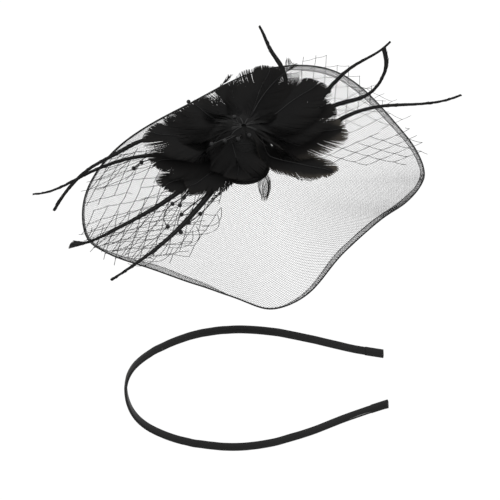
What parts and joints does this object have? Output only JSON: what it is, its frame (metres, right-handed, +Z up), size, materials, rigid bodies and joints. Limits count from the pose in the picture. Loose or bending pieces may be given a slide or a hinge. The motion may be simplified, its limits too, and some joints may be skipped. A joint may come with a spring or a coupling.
{
  "type": "fascinator headpiece",
  "caption": "Wavy round mesh brim with netting, a feather rosette with long quills and beaded wires, on a felt pad with a sprung clip, and a slim satin headband apart from it",
  "frame": {"origin": "middle of the lower felt pad's underside, where the clip grips hair or a headband", "axes": "+Z up out of the pads, away from the head; -Y to the front, the way the clip's mouth points; +X towards the raised side of the brim"},
  "size_m": [0.2365, 0.2025, 0.2514],
  "materials": {
    "broad_feather": "black dyed goose feather, satin vane with a faint warm sheen and frayed translucent tips",
    "quill_feather": "black dyed stripped and burnt feather with a slim trimmed vane",
    "small_feather": "black dyed down and barbs",
    "netting": "black knotted diamond veiling",
    "bead": "small round glossy black beads",
    "bead_wire": "black lacquered fine wire",
    "brim_mesh": "fine open black bias mesh",
    "hem": "folded double edge of the same mesh",
    "brim_wire": "black covered millinery wire",
    "felt": "pressed black felt",
    "binding": "wound thread and glue, black",
    "thread": "black sewing thread",
    "spring_steel": "plain spring wire",
    "clip_steel": "black enamelled sheet steel",
    "band_steel": "plain spring steel strip",
    "satin": "matt black satin ribbon glued round the strip"
  },
  "bodies": {
    "fascinator": {"bead_wires_back": "bead_wire", "bead_wires_front": "bead_wire", "bead_wires_heart": "bead_wire", "bead_wires_left": "bead_wire", "beads_back": "bead", "beads_front": "bead", "beads_heart": "bead", "beads_left": "bead", "brim_hem": "hem", "brim_mesh": "brim_mesh", "brim_wire": "brim_wire", "bristle_feather": "small_feather", "clip_base": "clip_steel", "clip_pin": "clip_steel", "clip_spring": "spring_steel", "clip_stitches": "thread", "curled_barb": "small_feather", "downy_feather": "small_feather", "lower_felt_pad": "felt", "petal_back": "broad_feather", "petal_back_curled": "broad_feather", "petal_back_left": "broad_feather", "petal_back_right": "broad_feather", "petal_front": "broad_feather", "petal_front_low": "broad_feather", "petal_left": "broad_feather", "petal_left_back": "broad_feather", "petal_left_low": "broad_feather", "petal_left_upper": "broad_feather", "petal_right": "broad_feather", "petal_right_back": "broad_feather", "petal_right_low": "broad_feather", "petal_right_upper": "broad_feather", "quill_back": "quill_feather", "quill_front_left": "quill_feather", "quill_left_long": "quill_feather", "quill_left_lower": "quill_feather", "quill_left_upper": "quill_feather", "quill_right": "quill_feather", "quill_right_back": "quill_feather", "quill_right_upper": "quill_feather", "rosette_core": "binding", "speckled_tuft": "small_feather", "upper_felt_pad": "felt", "veil_lower_left": "netting", "veil_right": "netting", "veil_upper_left": "netting", "veil_upper_right": "netting"},
    "jaw": {"clip_jaw": "clip_steel"},
    "headband": {"headband_core": "band_steel", "headband_cover": "satin", "headband_end_wraps": "satin"}
  },
  "joints": [
    {"name": "jaw_hinge", "type": "hinge", "parent": "fascinator", "child": "jaw", "pos_m": [0, 0.018, -0.0042], "axis": [1, 0, 0], "range_deg": [0, 35], "stiffness_Nm_per_rad": 0.05, "springref_deg": -28.65, "deforming": ["clip_spring"]},
    {"name": "headband_slide", "type": "slide", "parent": "fascinator", "child": "headband", "axis": [0, 0, 1], "range_m": [0, 0.104]}
  ]
}
